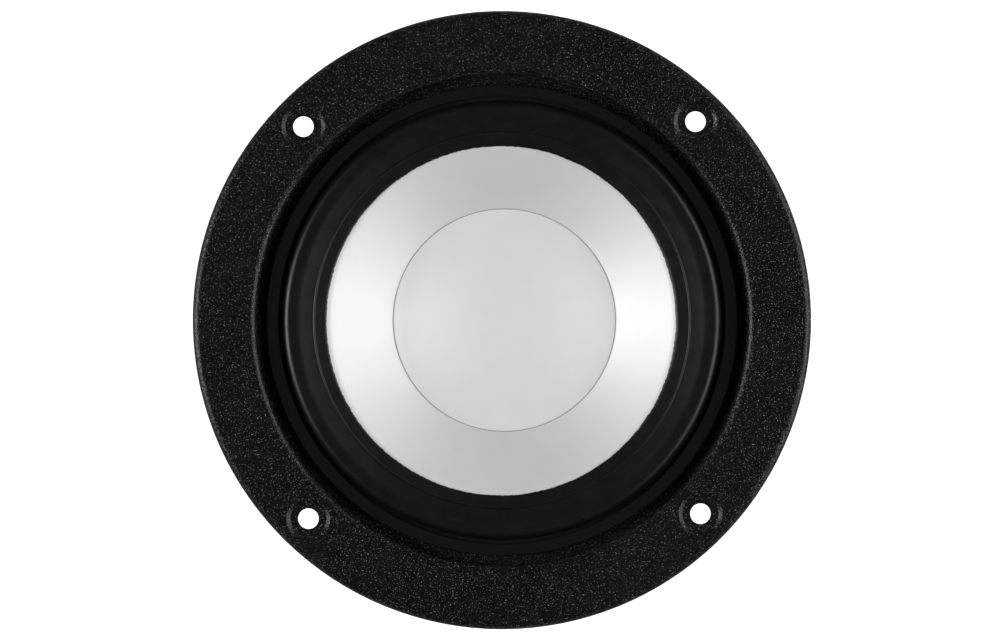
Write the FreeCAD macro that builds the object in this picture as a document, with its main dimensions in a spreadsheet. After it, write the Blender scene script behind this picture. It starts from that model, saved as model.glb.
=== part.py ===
import FreeCAD, Part
import Sketcher
import math
import os
import re

# A round moving-coil speaker for a car door or small enclosure, standing on its magnet with its
# front face up. The origin is on the axis, at the back of the yoke, and +Z points out of the front.
# All sizes are in millimetres.

SIZES = {
    # basket flange: the pressed steel rim that is bolted to the car
    "flange_radius": 75.0,
    "flange_front": 72.0,
    "sheet_thickness": 1.4,
    "flange_lip_depth": 3.0,
    "flange_edge_round": 1.7,
    "bolt_circle_radius": 67.2,
    "bolt_hole_radius": 2.5,
    "dimple_radius": 5.3,
    "dimple_depth": 0.65,
    "dimple_slope": 55.0,
    # basket: the recess behind the flange, the tapered tub with its windows, and the cup under the spider
    "recess_radius": 59.6,
    "recess_edge_round": 1.6,
    "seat_height": 67.0,
    "seat_inner_radius": 53.4,
    "spider_seat_height": 42.9,
    "tub_foot_radius": 46.2,
    "cup_radius": 38.6,
    "basket_bore_radius": 21.6,
    "inside_bend": 0.8,
    "outside_bend": 1.6,
    "window_half_width": 22.0,
    "window_sill": 47.5,
    "window_head": 61.5,
    "window_corner": 4.0,
    # gasket behind the flange and the ring that holds the surround's rim
    "gasket_inner_radius": 62.4,
    "gasket_outer_radius": 73.0,
    "gasket_thickness": 2.0,
    "gasket_hole_radius": 3.4,
    "ring_inner_radius": 54.3,
    "ring_outer_radius": 57.2,
    "ring_thickness": 1.2,
    "ring_edge": 0.2,
    # magnet system
    "yoke_radius": 45.0,
    "yoke_thickness": 6.0,
    "yoke_edge": 1.5,
    "magnet_radius": 50.0,
    "magnet_bore_radius": 24.0,
    "magnet_thickness": 18.0,
    "magnet_edge": 1.2,
    "plate_radius": 45.0,
    "plate_thickness": 6.0,
    "plate_bore_radius": 20.4,
    "plate_edge": 0.8,
    "pole_radius": 18.6,
    "pole_edge": 1.0,
    "vent_radius": 6.0,
    "vent_flare": 2.5,
    "screen_radius": 8.9,
    "screen_seat_radius": 9.0,
    "screen_seat_depth": 1.5,
    "screen_ledge": 1.5,
    "screen_thickness": 0.6,
    "screen_hole_radius": 0.65,
    "screen_ring_step": 2.1,
    # screws that hold the basket to the top plate
    "screw_circle_radius": 31.0,
    "screw_radius": 1.9,
    "screw_hole_radius": 2.0,
    "screw_length": 6.5,
    "screw_head_radius": 3.7,
    "screw_head_height": 2.2,
    "screw_slot_width": 0.9,
    "screw_slot_length": 4.44,
    "screw_slot_depth": 1.1,
    # voice coil
    "former_radius": 19.0,
    "former_wall": 0.25,
    "former_foot": 18.0,
    "former_top": 54.0,
    "winding_radius": 19.3,
    "winding_wall": 0.7,
    "winding_foot": 19.0,
    "winding_top": 35.0,
    "collar_radius": 19.3,
    "collar_wall": 0.3,
    "collar_foot": 36.0,
    "coil_wire_radius": 0.18,
    "coil_wire_axis": 19.83,
    "coil_wire_top": 45.6,
    "joint_height": 46.5,
    "joint_radius": 0.85,
    # cone and dust cap
    "cone_edge_radius": 46.2,
    "cone_edge_height": 68.6,
    "cone_rim_start": 42.0,
    "cone_rim_angle": 10.0,
    "cone_angle": 31.0,
    "cone_thickness": 0.6,
    "neck_radius": 19.68,
    "neck_foot": 51.5,
    "cap_radius": 27.1,
    "cap_rise": 4.7,
    "cap_thickness": 0.5,
    # surround: inner lip on the cone's rim, bead, low roll with a steep outer side, outer lip on the basket
    "lip_inner_radius": 42.5,
    "lip_outer_radius": 57.0,
    "rubber_thickness": 0.6,
    "roll_foot_radius": 46.3,
    "roll_slope": 15.0,
    "roll_top_radius": 50.6,
    "roll_top_bend": 6.6,
    "roll_side_radius": 53.2,
    "roll_side_bend": 1.7,
    "bead_radius": 45.6,
    "bead_half_width": 0.3,
    "bead_rise": 0.2,
    # spider: corrugated cloth disc between the coil and the basket
    "spider_neck_radius": 20.1,
    "spider_neck_top": 45.2,
    "spider_outer_radius": 45.6,
    "spider_thickness": 0.4,
    "corrugation_start": 21.4,
    "corrugation_pitch": 4.1,
    "corrugation_rise": 0.75,
    # thin lines of adhesive between pieces
    "glue_line": 0.05,
    # terminal board and its two blades, on the basket's cup
    "board_half_width": 13.0,
    "board_foot": 32.5,
    "board_top": 40.4,
    "board_face": 43.6,
    "shelf_foot": 33.6,
    "shelf_top": 35.6,
    "shelf_end": 53.6,
    "shelf_half_width": 11.5,
    "board_corner": 1.5,
    "rib_half_width": 0.8,
    "rib_height": 2.6,
    "board_rivet_offset": 9.5,
    "board_rivet_height": 38.0,
    "rivet_radius": 1.2,
    "rivet_hole_radius": 1.3,
    "rivet_head_radius": 2.2,
    "rivet_head_height": 0.7,
    "blade_offset": 6.0,
    "blade_thickness": 0.8,
    "blade_start": 45.6,
    "blade_end": 60.0,
    "wide_blade_width": 6.3,
    "narrow_blade_width": 4.75,
    "blade_tip_chamfer": 1.2,
    "blade_hole_radius": 0.8,
    "blade_hole_from_end": 3.2,
    "blade_rivet_place": 47.9,
    "solder_tab_place": 50.6,
    "solder_tab_top": 41.8,
    "solder_tab_width": 2.6,
    # braided leads from the solder tabs to the coil
    "lead_radius": 0.6,
    "lead_end_gap": 0.1,
    "lead_over_sill": 5.5,
}

BOLT_COUNT = 4
WINDOW_COUNT = 4
SCREW_COUNT = 4
SCREEN_RINGS = 3
HOLES_PER_SCREEN_RING = 6
CORRUGATIONS = 4
FULL_TURN = 360.0
SAME_PLACE = 0.0001
RUN_SHARE = 0.45

doc = FreeCAD.newDocument("speaker")
dims = doc.addObject("Spreadsheet::Sheet", "dims")
for row, (alias, size) in enumerate(SIZES.items(), start=1):
    dims.set(f"A{row}", alias)
    dims.set(f"B{row}", str(size))
    dims.setAlias(f"B{row}", alias)
doc.recompute()


# ---------------------------------------------------------------- expressions

def bound(expression):
    """The same expression with every size pointed at the sheet."""
    return re.sub(r"[a-z_]+", lambda word: f"dims.{word[0]}" if word[0] in SIZES else word[0], expression)


def value(expression):
    """What an expression of sheet sizes comes to, in millimetres or degrees."""
    result = dims.evalExpression(expression)
    return float(getattr(result, "Value", result))


def arc_radius(half_chord, rise):
    """The radius of an arc, from half its chord and its rise."""
    return f"(({half_chord})^2 + ({rise})^2) / (2 * ({rise}))"


# ---------------------------------------------------------------- sketches and features

def origin_feature(body, role):
    return next(feature for feature in body.Origin.OriginFeatures if feature.Role == role)


def new_body(label):
    body = doc.addObject("PartDesign::Body", label)
    body.Label = label
    return body


def new_sketch(body, name, role, offset="0"):
    """A sketch on one of the body's own origin planes, lifted off it by the offset."""
    sketch = body.newObject("Sketcher::SketchObject", f"{body.Name}_{name}")
    sketch.AttachmentSupport = [(origin_feature(body, role), "")]
    sketch.MapMode = "FlatFace"
    if offset != "0":
        sketch.setExpression(".AttachmentOffset.Base.z", bound(offset))
    return sketch


def constrain(sketch, kind, places, expression):
    """Add a sized constraint and bind it to the sheet."""
    number = sketch.addConstraint(Sketcher.Constraint(kind, *places, value(expression)))
    sketch.setExpression(f"Constraints[{number}]", bound(expression))


def place_point(sketch, side, end, across, up):
    """Fix one end of a side. A point on an axis is tied to the axis, as a distance can't be zero."""
    for kind, axis, expression in (("DistanceX", -2, across), ("DistanceY", -1, up)):
        if value(expression) == 0:
            sketch.addConstraint(Sketcher.Constraint("PointOnObject", side, end, axis))
        else:
            constrain(sketch, kind, (-1, 1, side, end), expression)


def arc_between(start, end, radius, turn):
    """An arc from start to end that turns left or right."""
    middle = (start + end) * 0.5
    chord = end - start
    back = math.sqrt(max(radius * radius - chord.Length**2 / 4, 0.0))
    normal = FreeCAD.Vector(-chord.y, chord.x, 0).normalize()
    centre = middle + normal * (back if turn == "left" else -back)
    first, last = (start, end) if turn == "left" else (end, start)
    angles = [math.atan2(point.y - centre.y, point.x - centre.x) for point in (first, last)]
    circle = Part.Circle(centre, FreeCAD.Vector(0, 0, 1), radius)
    return Part.ArcOfCircle(circle, angles[0], angles[1])


def draw(sketch, corners):
    """Draw a closed outline. A corner (x, y) ends a straight side, and (x, y, radius, turn) an arc."""
    points = [FreeCAD.Vector(value(corner[0]), value(corner[1]), 0) for corner in corners]
    sides = []
    for index, corner in enumerate(corners):
        start, end = points[index - 1], points[index]
        if len(corner) == 2:
            side = sketch.addGeometry(Part.LineSegment(start, end))
            sides.append((side, 1, 2))
            continue
        radius, turn = corner[2:]
        side = sketch.addGeometry(arc_between(start, end, value(radius), turn))
        sides.append((side, 1, 2) if turn == "left" else (side, 2, 1))
        constrain(sketch, "Radius", (side,), radius)
    for index, corner in enumerate(corners):
        side, _, end = sides[index]
        following, start, _ = sides[(index + 1) % len(sides)]
        sketch.addConstraint(Sketcher.Constraint("Coincident", side, end, following, start))
        place_point(sketch, side, end, corner[0], corner[1])


def draw_circle(sketch, across, up, radius):
    centre = FreeCAD.Vector(value(across), value(up), 0)
    circle = sketch.addGeometry(Part.Circle(centre, FreeCAD.Vector(0, 0, 1), value(radius)))
    place_point(sketch, circle, 3, across, up)
    constrain(sketch, "Radius", (circle,), radius)


def rectangle(left, right, bottom, top):
    return [(left, bottom), (right, bottom), (right, top), (left, top)]


def revolve(body, name, outline):
    """Turn an outline of (radius, height) corners about the speaker's axis."""
    sketch = new_sketch(body, f"{name}_section", "XZ_Plane")
    draw(sketch, outline)
    feature = body.newObject("PartDesign::Revolution", f"{body.Name}_{name}")
    feature.Profile = sketch
    feature.ReferenceAxis = (sketch, ["V_Axis"])
    feature.Angle = FULL_TURN
    return feature


def extrude(kind, body, name, sketch, length, backwards=False, both_ways=False):
    """A pad or pocket of one sketch, along the sketch's normal or against it."""
    feature = body.newObject(f"PartDesign::{kind}", f"{body.Name}_{name}")
    feature.Profile = sketch
    feature.Reversed = backwards
    feature.Midplane = both_ways
    feature.setExpression("Length", bound(length))
    return feature


def around_axis(body, name, originals, count):
    """Repeat features evenly about the speaker's axis."""
    pattern = body.newObject("PartDesign::PolarPattern", f"{body.Name}_{name}")
    pattern.Originals = originals
    pattern.Axis = (origin_feature(body, "Z_Axis"), [""])
    pattern.Angle = FULL_TURN
    pattern.Occurrences = count
    body.Tip = pattern
    return pattern


def ring_edges(shape, places):
    """Names of the full-circle edges of a turned shape at the given (radius, height) expressions."""
    wanted = [(value(radius), value(height)) for radius, height in places]
    names = []
    for number, edge in enumerate(shape.Edges, start=1):
        if not isinstance(edge.Curve, Part.Circle):
            continue
        found = (edge.Curve.Radius, edge.Curve.Center.z)
        on_axis = math.hypot(edge.Curve.Center.x, edge.Curve.Center.y) < SAME_PLACE
        if on_axis and any(math.dist(found, want) < SAME_PLACE for want in wanted):
            names.append(f"Edge{number}")
    assert len(names) >= len(places), f"an edge of {places} is missing"
    return names


def soften(kind, body, name, base, places, size):
    """Fillet or chamfer the named ring edges of a feature."""
    doc.recompute()
    feature = body.newObject(f"PartDesign::{kind}", f"{body.Name}_{name}")
    feature.Base = (base, ring_edges(base.Shape, places))
    feature.setExpression("Radius" if kind == "Fillet" else "Size", bound(size))
    return feature


# ---------------------------------------------------------------- shared places

FLOOR = "(yoke_thickness + magnet_thickness + plate_thickness)"
FLANGE_BACK = "(flange_front - sheet_thickness)"
SEAT_BACK = "(seat_height - sheet_thickness)"
SPIDER_SEAT_BACK = "(spider_seat_height - sheet_thickness)"
TUB_SLOPE = "((seat_inner_radius - tub_foot_radius) / (seat_height - spider_seat_height))"
TUB_WALL = f"(sheet_thickness * sqrt(1 + {TUB_SLOPE}^2))"
SURROUND_BACK = "(seat_height + glue_line)"
SURROUND_LIP = f"({SURROUND_BACK} + rubber_thickness)"
SADDLE_REACH = "(cup_radius / 2)"
JOINT_AXIS = "(collar_radius + collar_wall + glue_line + joint_radius)"


def tub_outside(height):
    """Outer radius of the tapered tub at a height."""
    return f"(tub_foot_radius + {TUB_SLOPE} * ({height} - spider_seat_height) + {TUB_WALL})"


def rim_front(radius):
    """Height of the cone's shallow glue rim at a radius."""
    return f"(cone_edge_height - (cone_edge_radius - ({radius})) * tan(cone_rim_angle))"


def cone_front(radius):
    """Height of the cone's straight side at a radius inside the glue rim."""
    return f"({rim_front('cone_rim_start')} - (cone_rim_start - ({radius})) * tan(cone_angle))"


def on_circle_behind(radius, across):
    """The y of the point at this radius from the axis and this far across, on the terminal side."""
    return f"(-sqrt(({radius})^2 - ({across})^2))"


def rounded_rectangle(left, right, bottom, top, corner):
    return [
        (f"{right} - {corner}", bottom),
        (right, f"{bottom} + {corner}", corner, "left"),
        (right, f"{top} - {corner}"),
        (f"{right} - {corner}", top, corner, "left"),
        (f"{left} + {corner}", top),
        (left, f"{top} - {corner}", corner, "left"),
        (left, f"{bottom} + {corner}"),
        (f"{left} + {corner}", bottom, corner, "left"),
    ]


# ---------------------------------------------------------------- basket and what is fixed to its rim

def make_basket():
    """Pressed steel frame: rolled rim, flange, recess, tub with four windows, spider seat and cup."""
    body = new_body("basket")
    turned = revolve(body, "sheet", [
        ("recess_radius", "flange_front"),
        ("flange_radius", "flange_front"),
        ("flange_radius", "flange_front - flange_lip_depth"),
        ("flange_radius - sheet_thickness", "flange_front - flange_lip_depth"),
        ("flange_radius - sheet_thickness", FLANGE_BACK),
        ("recess_radius + sheet_thickness", FLANGE_BACK),
        ("recess_radius + sheet_thickness", SEAT_BACK),
        (tub_outside(SEAT_BACK), SEAT_BACK),
        (tub_outside(SPIDER_SEAT_BACK), SPIDER_SEAT_BACK),
        ("cup_radius + sheet_thickness", SPIDER_SEAT_BACK),
        ("cup_radius + sheet_thickness", FLOOR),
        ("basket_bore_radius", FLOOR),
        ("basket_bore_radius", f"{FLOOR} + sheet_thickness"),
        ("cup_radius", f"{FLOOR} + sheet_thickness"),
        ("cup_radius", "spider_seat_height"),
        ("tub_foot_radius", "spider_seat_height"),
        ("seat_inner_radius", "seat_height"),
        ("recess_radius", "seat_height"),
    ])
    rim_edge = [("flange_radius", "flange_front")]
    recess_edge = [("recess_radius", "flange_front")]
    rim = soften("Fillet", body, "rim_edge", turned, rim_edge, "flange_edge_round")
    recess = soften("Fillet", body, "recess_edge", rim, recess_edge, "recess_edge_round")
    outer = soften("Fillet", body, "outside_bends", recess, [
        ("recess_radius + sheet_thickness", SEAT_BACK),
        (tub_outside(SPIDER_SEAT_BACK), SPIDER_SEAT_BACK),
        ("cup_radius + sheet_thickness", FLOOR),
    ], "outside_bend")
    soften("Fillet", body, "inside_bends", outer, [
        ("cup_radius", f"{FLOOR} + sheet_thickness"),
        ("cup_radius", "spider_seat_height"),
        ("cup_radius + sheet_thickness", SPIDER_SEAT_BACK),
        ("seat_inner_radius", "seat_height"),
        (tub_outside(SEAT_BACK), SEAT_BACK),
    ], "inside_bend")
    cut_windows(body)
    cut_bolt_holes(body)
    cut_screw_holes(body, f"{FLOOR} + sheet_thickness", "sheet_thickness")
    cut_board_rivet_holes(body)
    return body


def cut_windows(body):
    sketch = new_sketch(body, "window_outline", "YZ_Plane")
    draw(sketch, rounded_rectangle(
        "-window_half_width", "window_half_width", "window_sill", "window_head", "window_corner"))
    window = extrude("Pocket", body, "window", sketch, "flange_radius", backwards=True)
    around_axis(body, "windows", [window], WINDOW_COUNT)


def diagonal(radius):
    """The x or the y of a point at this radius, halfway between the x and y axes."""
    return f"{radius} / sqrt(2)"


def cut_bolt_holes(body):
    """Four bolt holes, each in a shallow dimple with a sloping wall."""
    place = diagonal("bolt_circle_radius")
    rim = new_sketch(body, "dimple_outline", "XY_Plane", "flange_front")
    draw_circle(rim, place, place, "dimple_radius")
    dimple = extrude("Pocket", body, "dimple", rim, "dimple_depth")
    dimple.setExpression("TaperAngle", bound("-dimple_slope"))
    around_axis(body, "dimples", [dimple], BOLT_COUNT)
    circle = new_sketch(body, "bolt_hole_outline", "XY_Plane", "flange_front")
    draw_circle(circle, place, place, "bolt_hole_radius")
    hole = extrude("Pocket", body, "bolt_hole", circle, "flange_lip_depth")
    around_axis(body, "bolt_holes", [hole], BOLT_COUNT)


def cut_screw_holes(body, top, depth):
    """Holes for the screws between basket and top plate, cut down from a height."""
    sketch = new_sketch(body, "screw_hole_outline", "XY_Plane", top)
    draw_circle(sketch, "screw_circle_radius", "0", "screw_hole_radius")
    hole = extrude("Pocket", body, "screw_hole", sketch, depth)
    around_axis(body, "screw_holes", [hole], SCREW_COUNT)


def cut_board_rivet_holes(body):
    """Two holes through the wall on the terminal side."""
    sketch = new_sketch(body, "board_rivet_outline", "XZ_Plane")
    for across in ("-board_rivet_offset", "board_rivet_offset"):
        draw_circle(sketch, across, "board_rivet_height", "rivet_hole_radius")
    extrude("Pocket", body, "board_rivet_holes", sketch, "board_face + sheet_thickness", backwards=True)


def make_rear_gasket():
    body = new_body("rear_gasket")
    back = f"{FLANGE_BACK} - gasket_thickness"
    revolve(body, "foam", rectangle("gasket_inner_radius", "gasket_outer_radius", back, FLANGE_BACK))
    sketch = new_sketch(body, "bolt_clearance_outline", "XY_Plane", FLANGE_BACK)
    place = diagonal("bolt_circle_radius")
    draw_circle(sketch, place, place, "gasket_hole_radius")
    hole = extrude("Pocket", body, "bolt_clearance", sketch, "gasket_thickness")
    around_axis(body, "bolt_clearances", [hole], BOLT_COUNT)
    return body


def make_clamp_ring():
    body = new_body("clamp_ring")
    foot = f"{SURROUND_LIP} + glue_line"
    top = f"{foot} + ring_thickness"
    ring = revolve(body, "ring", rectangle("ring_inner_radius", "ring_outer_radius", foot, top))
    edges = [("ring_inner_radius", top), ("ring_outer_radius", top)]
    soften("Chamfer", body, "ring_edges", ring, edges, "ring_edge")
    return body


# ---------------------------------------------------------------- magnet system

def make_yoke():
    """Forged back plate and pole in one piece, with a vent bore and a seat for its screen."""
    body = new_body("yoke")
    flare_top = "screen_seat_depth + vent_flare"
    turned = revolve(body, "forging", [
        ("screen_seat_radius", "0"),
        ("yoke_radius", "0"),
        ("yoke_radius", "yoke_thickness"),
        ("pole_radius", "yoke_thickness"),
        ("pole_radius", FLOOR),
        ("vent_radius", FLOOR),
        ("vent_radius", flare_top),
        ("screen_seat_radius - screen_ledge", "screen_seat_depth"),
        ("screen_seat_radius", "screen_seat_depth"),
    ])
    plate_edges = [("yoke_radius", "0"), ("yoke_radius", "yoke_thickness")]
    edged = soften("Chamfer", body, "plate_edges", turned, plate_edges, "yoke_edge")
    pole_edges = [("pole_radius", FLOOR), ("vent_radius", FLOOR)]
    soften("Chamfer", body, "pole_edges", edged, pole_edges, "pole_edge")
    return body


def make_vent_screen():
    """Perforated disc over the back of the vent: a centre hole and rings, each with six holes more."""
    body = new_body("vent_screen")
    foot = "screen_seat_depth - screen_thickness"
    outline = new_sketch(body, "disc_outline", "XY_Plane", foot)
    draw_circle(outline, "0", "0", "screen_radius")
    extrude("Pad", body, "disc", outline, "screen_thickness")
    centre = new_sketch(body, "centre_hole_outline", "XY_Plane", "screen_seat_depth")
    draw_circle(centre, "0", "0", "screen_hole_radius")
    extrude("Pocket", body, "centre_hole", centre, "screen_thickness")
    for ring in range(1, SCREEN_RINGS + 1):
        sketch = new_sketch(body, f"hole_outline_{ring}", "XY_Plane", "screen_seat_depth")
        draw_circle(sketch, f"screen_ring_step * {ring}", "0", "screen_hole_radius")
        hole = extrude("Pocket", body, f"hole_{ring}", sketch, "screen_thickness")
        around_axis(body, f"hole_ring_{ring}", [hole], HOLES_PER_SCREEN_RING * ring)
    return body


def make_magnet():
    body = new_body("magnet")
    top = "yoke_thickness + magnet_thickness"
    ring = revolve(body, "ferrite", rectangle("magnet_bore_radius", "magnet_radius", "yoke_thickness", top))
    edges = [("magnet_radius", "yoke_thickness"), ("magnet_radius", top)]
    soften("Chamfer", body, "edges", ring, edges, "magnet_edge")
    return body


def make_top_plate():
    body = new_body("top_plate")
    foot = "yoke_thickness + magnet_thickness"
    disc = revolve(body, "disc", rectangle("plate_bore_radius", "plate_radius", foot, FLOOR))
    edges = [("plate_radius", foot), ("plate_radius", FLOOR)]
    soften("Chamfer", body, "edges", disc, edges, "plate_edge")
    cut_screw_holes(body, FLOOR, "plate_thickness")
    return body


def make_basket_screws():
    """Four cross-recessed screws, as separate solids, from the cup's floor into the top plate."""
    body = new_body("basket_screws")
    seat = f"{FLOOR} + sheet_thickness"
    shank_outline = new_sketch(body, "shank_outline", "XY_Plane", seat)
    draw_circle(shank_outline, "screw_circle_radius", "0", "screw_radius")
    shank = extrude("Pad", body, "shank", shank_outline, "screw_length", backwards=True)
    head_outline = new_sketch(body, "head_outline", "XY_Plane", seat)
    draw_circle(head_outline, "screw_circle_radius", "0", "screw_head_radius")
    head = extrude("Pad", body, "head", head_outline, "screw_head_height")
    cuts = []
    half_width = "screw_slot_width / 2"
    half_length = "screw_slot_length / 2"
    for name, across, along in (("slot", half_width, half_length), ("cross_slot", half_length, half_width)):
        sketch = new_sketch(body, f"{name}_outline", "XY_Plane", f"{seat} + screw_head_height")
        left, right = f"screw_circle_radius - {across}", f"screw_circle_radius + {across}"
        draw(sketch, rectangle(left, right, f"-{along}", along))
        cuts.append(extrude("Pocket", body, name, sketch, "screw_slot_depth"))
    around_axis(body, "screws", [shank, head, *cuts], SCREW_COUNT)
    return body


# ---------------------------------------------------------------- voice coil, cone and cap

def make_tube(label, radius, wall, foot, top):
    body = new_body(label)
    revolve(body, "wall", rectangle(radius, f"{radius} + {wall}", foot, top))
    return body


def make_cone():
    """Straight-sided cone with a shallow glue rim, and a short neck over the coil former's collar."""
    body = new_body("cone")
    side_drop = "cone_thickness / cos(cone_angle)"
    rim_drop = "cone_thickness / cos(cone_rim_angle)"
    outside = "neck_radius + cone_thickness"
    bend_aside = "cone_thickness * tan((cone_angle + cone_rim_angle) / 2)"
    back_bend = f"cone_rim_start + {bend_aside}"
    revolve(body, "shell", [
        ("cone_edge_radius", "cone_edge_height"),
        ("cone_rim_start", rim_front("cone_rim_start")),
        ("neck_radius", cone_front("neck_radius")),
        ("neck_radius", "neck_foot"),
        (outside, "neck_foot"),
        (outside, f"{cone_front(outside)} - {side_drop}"),
        (back_bend, f"{rim_front(back_bend)} - {rim_drop}"),
        ("cone_edge_radius", f"cone_edge_height - {rim_drop}"),
    ])
    return body


def make_dust_cap():
    """Shallow domed cap, its rim bevelled to sit on the cone."""
    body = new_body("dust_cap")
    rim = f"({cone_front('cap_radius')} + glue_line)"
    inner = "(cap_radius - cap_thickness)"
    inner_rim = f"({cone_front(inner)} + glue_line)"
    crown = f"({rim} + cap_rise)"
    inner_crown = f"({crown} - cap_thickness)"
    revolve(body, "dome", [
        ("0", crown),
        ("cap_radius", rim, arc_radius("cap_radius", "cap_rise"), "right"),
        (inner, inner_rim),
        ("0", inner_crown, arc_radius(inner, f"{inner_crown} - {inner_rim}"), "left"),
    ])
    return body


# ---------------------------------------------------------------- surround and spider

def make_surround():
    """Rubber surround: inner lip, bead, a roll that rises gently and drops steeply, and an outer lip."""
    body = new_body("surround")

    def lip_back(radius):
        return f"({rim_front(radius)} + glue_line)"

    def lip_front(radius):
        return f"({lip_back(radius)} + rubber_thickness)"

    bead_start = "(bead_radius - bead_half_width)"
    bead_end = "(bead_radius + bead_half_width)"
    bead_bend = arc_radius("bead_half_width / cos(cone_rim_angle)", "bead_rise")
    bend_start = "(roll_top_radius - roll_top_bend * sin(roll_slope))"
    foot_height = lip_front("roll_foot_radius")
    bend_start_height = f"({foot_height} + ({bend_start} - roll_foot_radius) * tan(roll_slope))"
    crest = f"({bend_start_height} + roll_top_bend * (1 - cos(roll_slope)))"
    under_start = "(roll_top_radius - (roll_top_bend - rubber_thickness) * sin(roll_slope))"
    under_start_height = f"({bend_start_height} - rubber_thickness * cos(roll_slope))"
    side_top = "(roll_side_radius - roll_side_bend)"
    inside_side = "(roll_side_radius - rubber_thickness)"
    side_foot = f"({crest} - roll_side_bend)"
    revolve(body, "section", [
        ("lip_inner_radius", lip_back("lip_inner_radius")),
        ("cone_edge_radius", lip_back("cone_edge_radius")),
        (under_start, under_start_height),
        ("roll_top_radius", f"{crest} - rubber_thickness", "roll_top_bend - rubber_thickness", "right"),
        (side_top, f"{crest} - rubber_thickness"),
        (inside_side, side_foot, "roll_side_bend - rubber_thickness", "right"),
        (inside_side, SURROUND_BACK),
        ("lip_outer_radius", SURROUND_BACK),
        ("lip_outer_radius", SURROUND_LIP),
        ("roll_side_radius", SURROUND_LIP),
        ("roll_side_radius", side_foot),
        (side_top, crest, "roll_side_bend", "left"),
        ("roll_top_radius", crest),
        (bend_start, bend_start_height, "roll_top_bend", "left"),
        ("roll_foot_radius", foot_height),
        (bead_end, lip_front(bead_end)),
        (bead_start, lip_front(bead_start), bead_bend, "left"),
        ("lip_inner_radius", lip_front("lip_inner_radius")),
    ])
    return body


def corrugation_line(side):
    """Points and arcs of one face of the corrugations, from the inside out; side is +1 for the front."""
    half = "(corrugation_pitch / 4)"
    middle = "(spider_seat_height + glue_line + spider_thickness / 2)"
    bend = arc_radius(half, "corrugation_rise")
    across = f"(2 * {half} * corrugation_rise / ({half}^2 + corrugation_rise^2))"
    upward = f"(({half}^2 - corrugation_rise^2) / ({half}^2 + corrugation_rise^2))"
    offset = f"({side} * spider_thickness / 2)"
    flat = f"{middle} + {offset}"
    steps = [(f"corrugation_start - {offset} * {across}", flat)]
    waves = 2 * CORRUGATIONS
    for wave in range(waves):
        rising = 1 if wave % 2 == 0 else -1
        end = f"corrugation_start + {wave + 1} * corrugation_pitch / 2 + {rising} * {offset} * {across}"
        height = flat if wave == waves - 1 else f"{middle} + {offset} * {upward}"
        steps.append((end, height, f"{bend} + {rising} * {offset}", "right" if rising > 0 else "left"))
    return steps


def reversed_line(steps):
    """The same points and arcs, walked the other way."""
    opposite = {"left": "right", "right": "left"}
    back = [steps[-1][:2]]
    for here, before in zip(steps[:0:-1], steps[-2::-1]):
        back.append((before[0], before[1], here[2], opposite[here[3]]))
    return back


def make_spider():
    """Corrugated cloth disc with a glued neck on the coil and a flat rim on the basket's seat."""
    body = new_body("spider")
    foot = "(spider_seat_height + glue_line)"
    top = f"({foot} + spider_thickness)"
    neck_outside = "spider_neck_radius + spider_thickness"
    revolve(body, "cloth", [
        ("spider_neck_radius", foot),
        *corrugation_line(-1),
        ("spider_outer_radius", foot),
        ("spider_outer_radius", top),
        *reversed_line(corrugation_line(1)),
        (neck_outside, top),
        (neck_outside, "spider_neck_top"),
        ("spider_neck_radius", "spider_neck_top"),
    ])
    return body


# ---------------------------------------------------------------- terminals

def make_terminal_board():
    """Moulded board: a saddle that fits the cup, a shelf for two blades and a rib between them."""
    body = new_body("terminal_board")
    saddle_outline = new_sketch(body, "saddle_outline", "XY_Plane", "board_foot")
    saddle_back = f"-cup_radius + {SADDLE_REACH}"
    draw(saddle_outline, rectangle("-board_half_width", "board_half_width", "-board_face", saddle_back))
    extrude("Pad", body, "saddle", saddle_outline, "board_top - board_foot")
    shelf_outline = new_sketch(body, "shelf_outline", "XY_Plane", "shelf_foot")
    draw(shelf_outline, rounded_rectangle(
        "-shelf_half_width", "shelf_half_width", "-shelf_end", "-cup_radius", "board_corner"))
    extrude("Pad", body, "shelf", shelf_outline, "shelf_top - shelf_foot")
    rib_outline = new_sketch(body, "rib_outline", "XY_Plane", "shelf_top")
    draw(rib_outline, rectangle("-rib_half_width", "rib_half_width", "-shelf_end", "-cup_radius"))
    extrude("Pad", body, "rib", rib_outline, "rib_height")
    cup = new_sketch(body, "cup_outline", "XY_Plane", "board_top")
    draw_circle(cup, "0", "0", "cup_radius + sheet_thickness + glue_line")
    extrude("Pocket", body, "cup_hollow", cup, "board_top - board_foot")
    cut_board_rivet_holes(body)
    holes = new_sketch(body, "blade_rivet_outline", "XY_Plane", "shelf_top")
    for across in ("-blade_offset", "blade_offset"):
        draw_circle(holes, across, "-blade_rivet_place", "rivet_hole_radius")
    extrude("Pocket", body, "blade_rivet_holes", holes, "shelf_top - shelf_foot")
    return body


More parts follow.
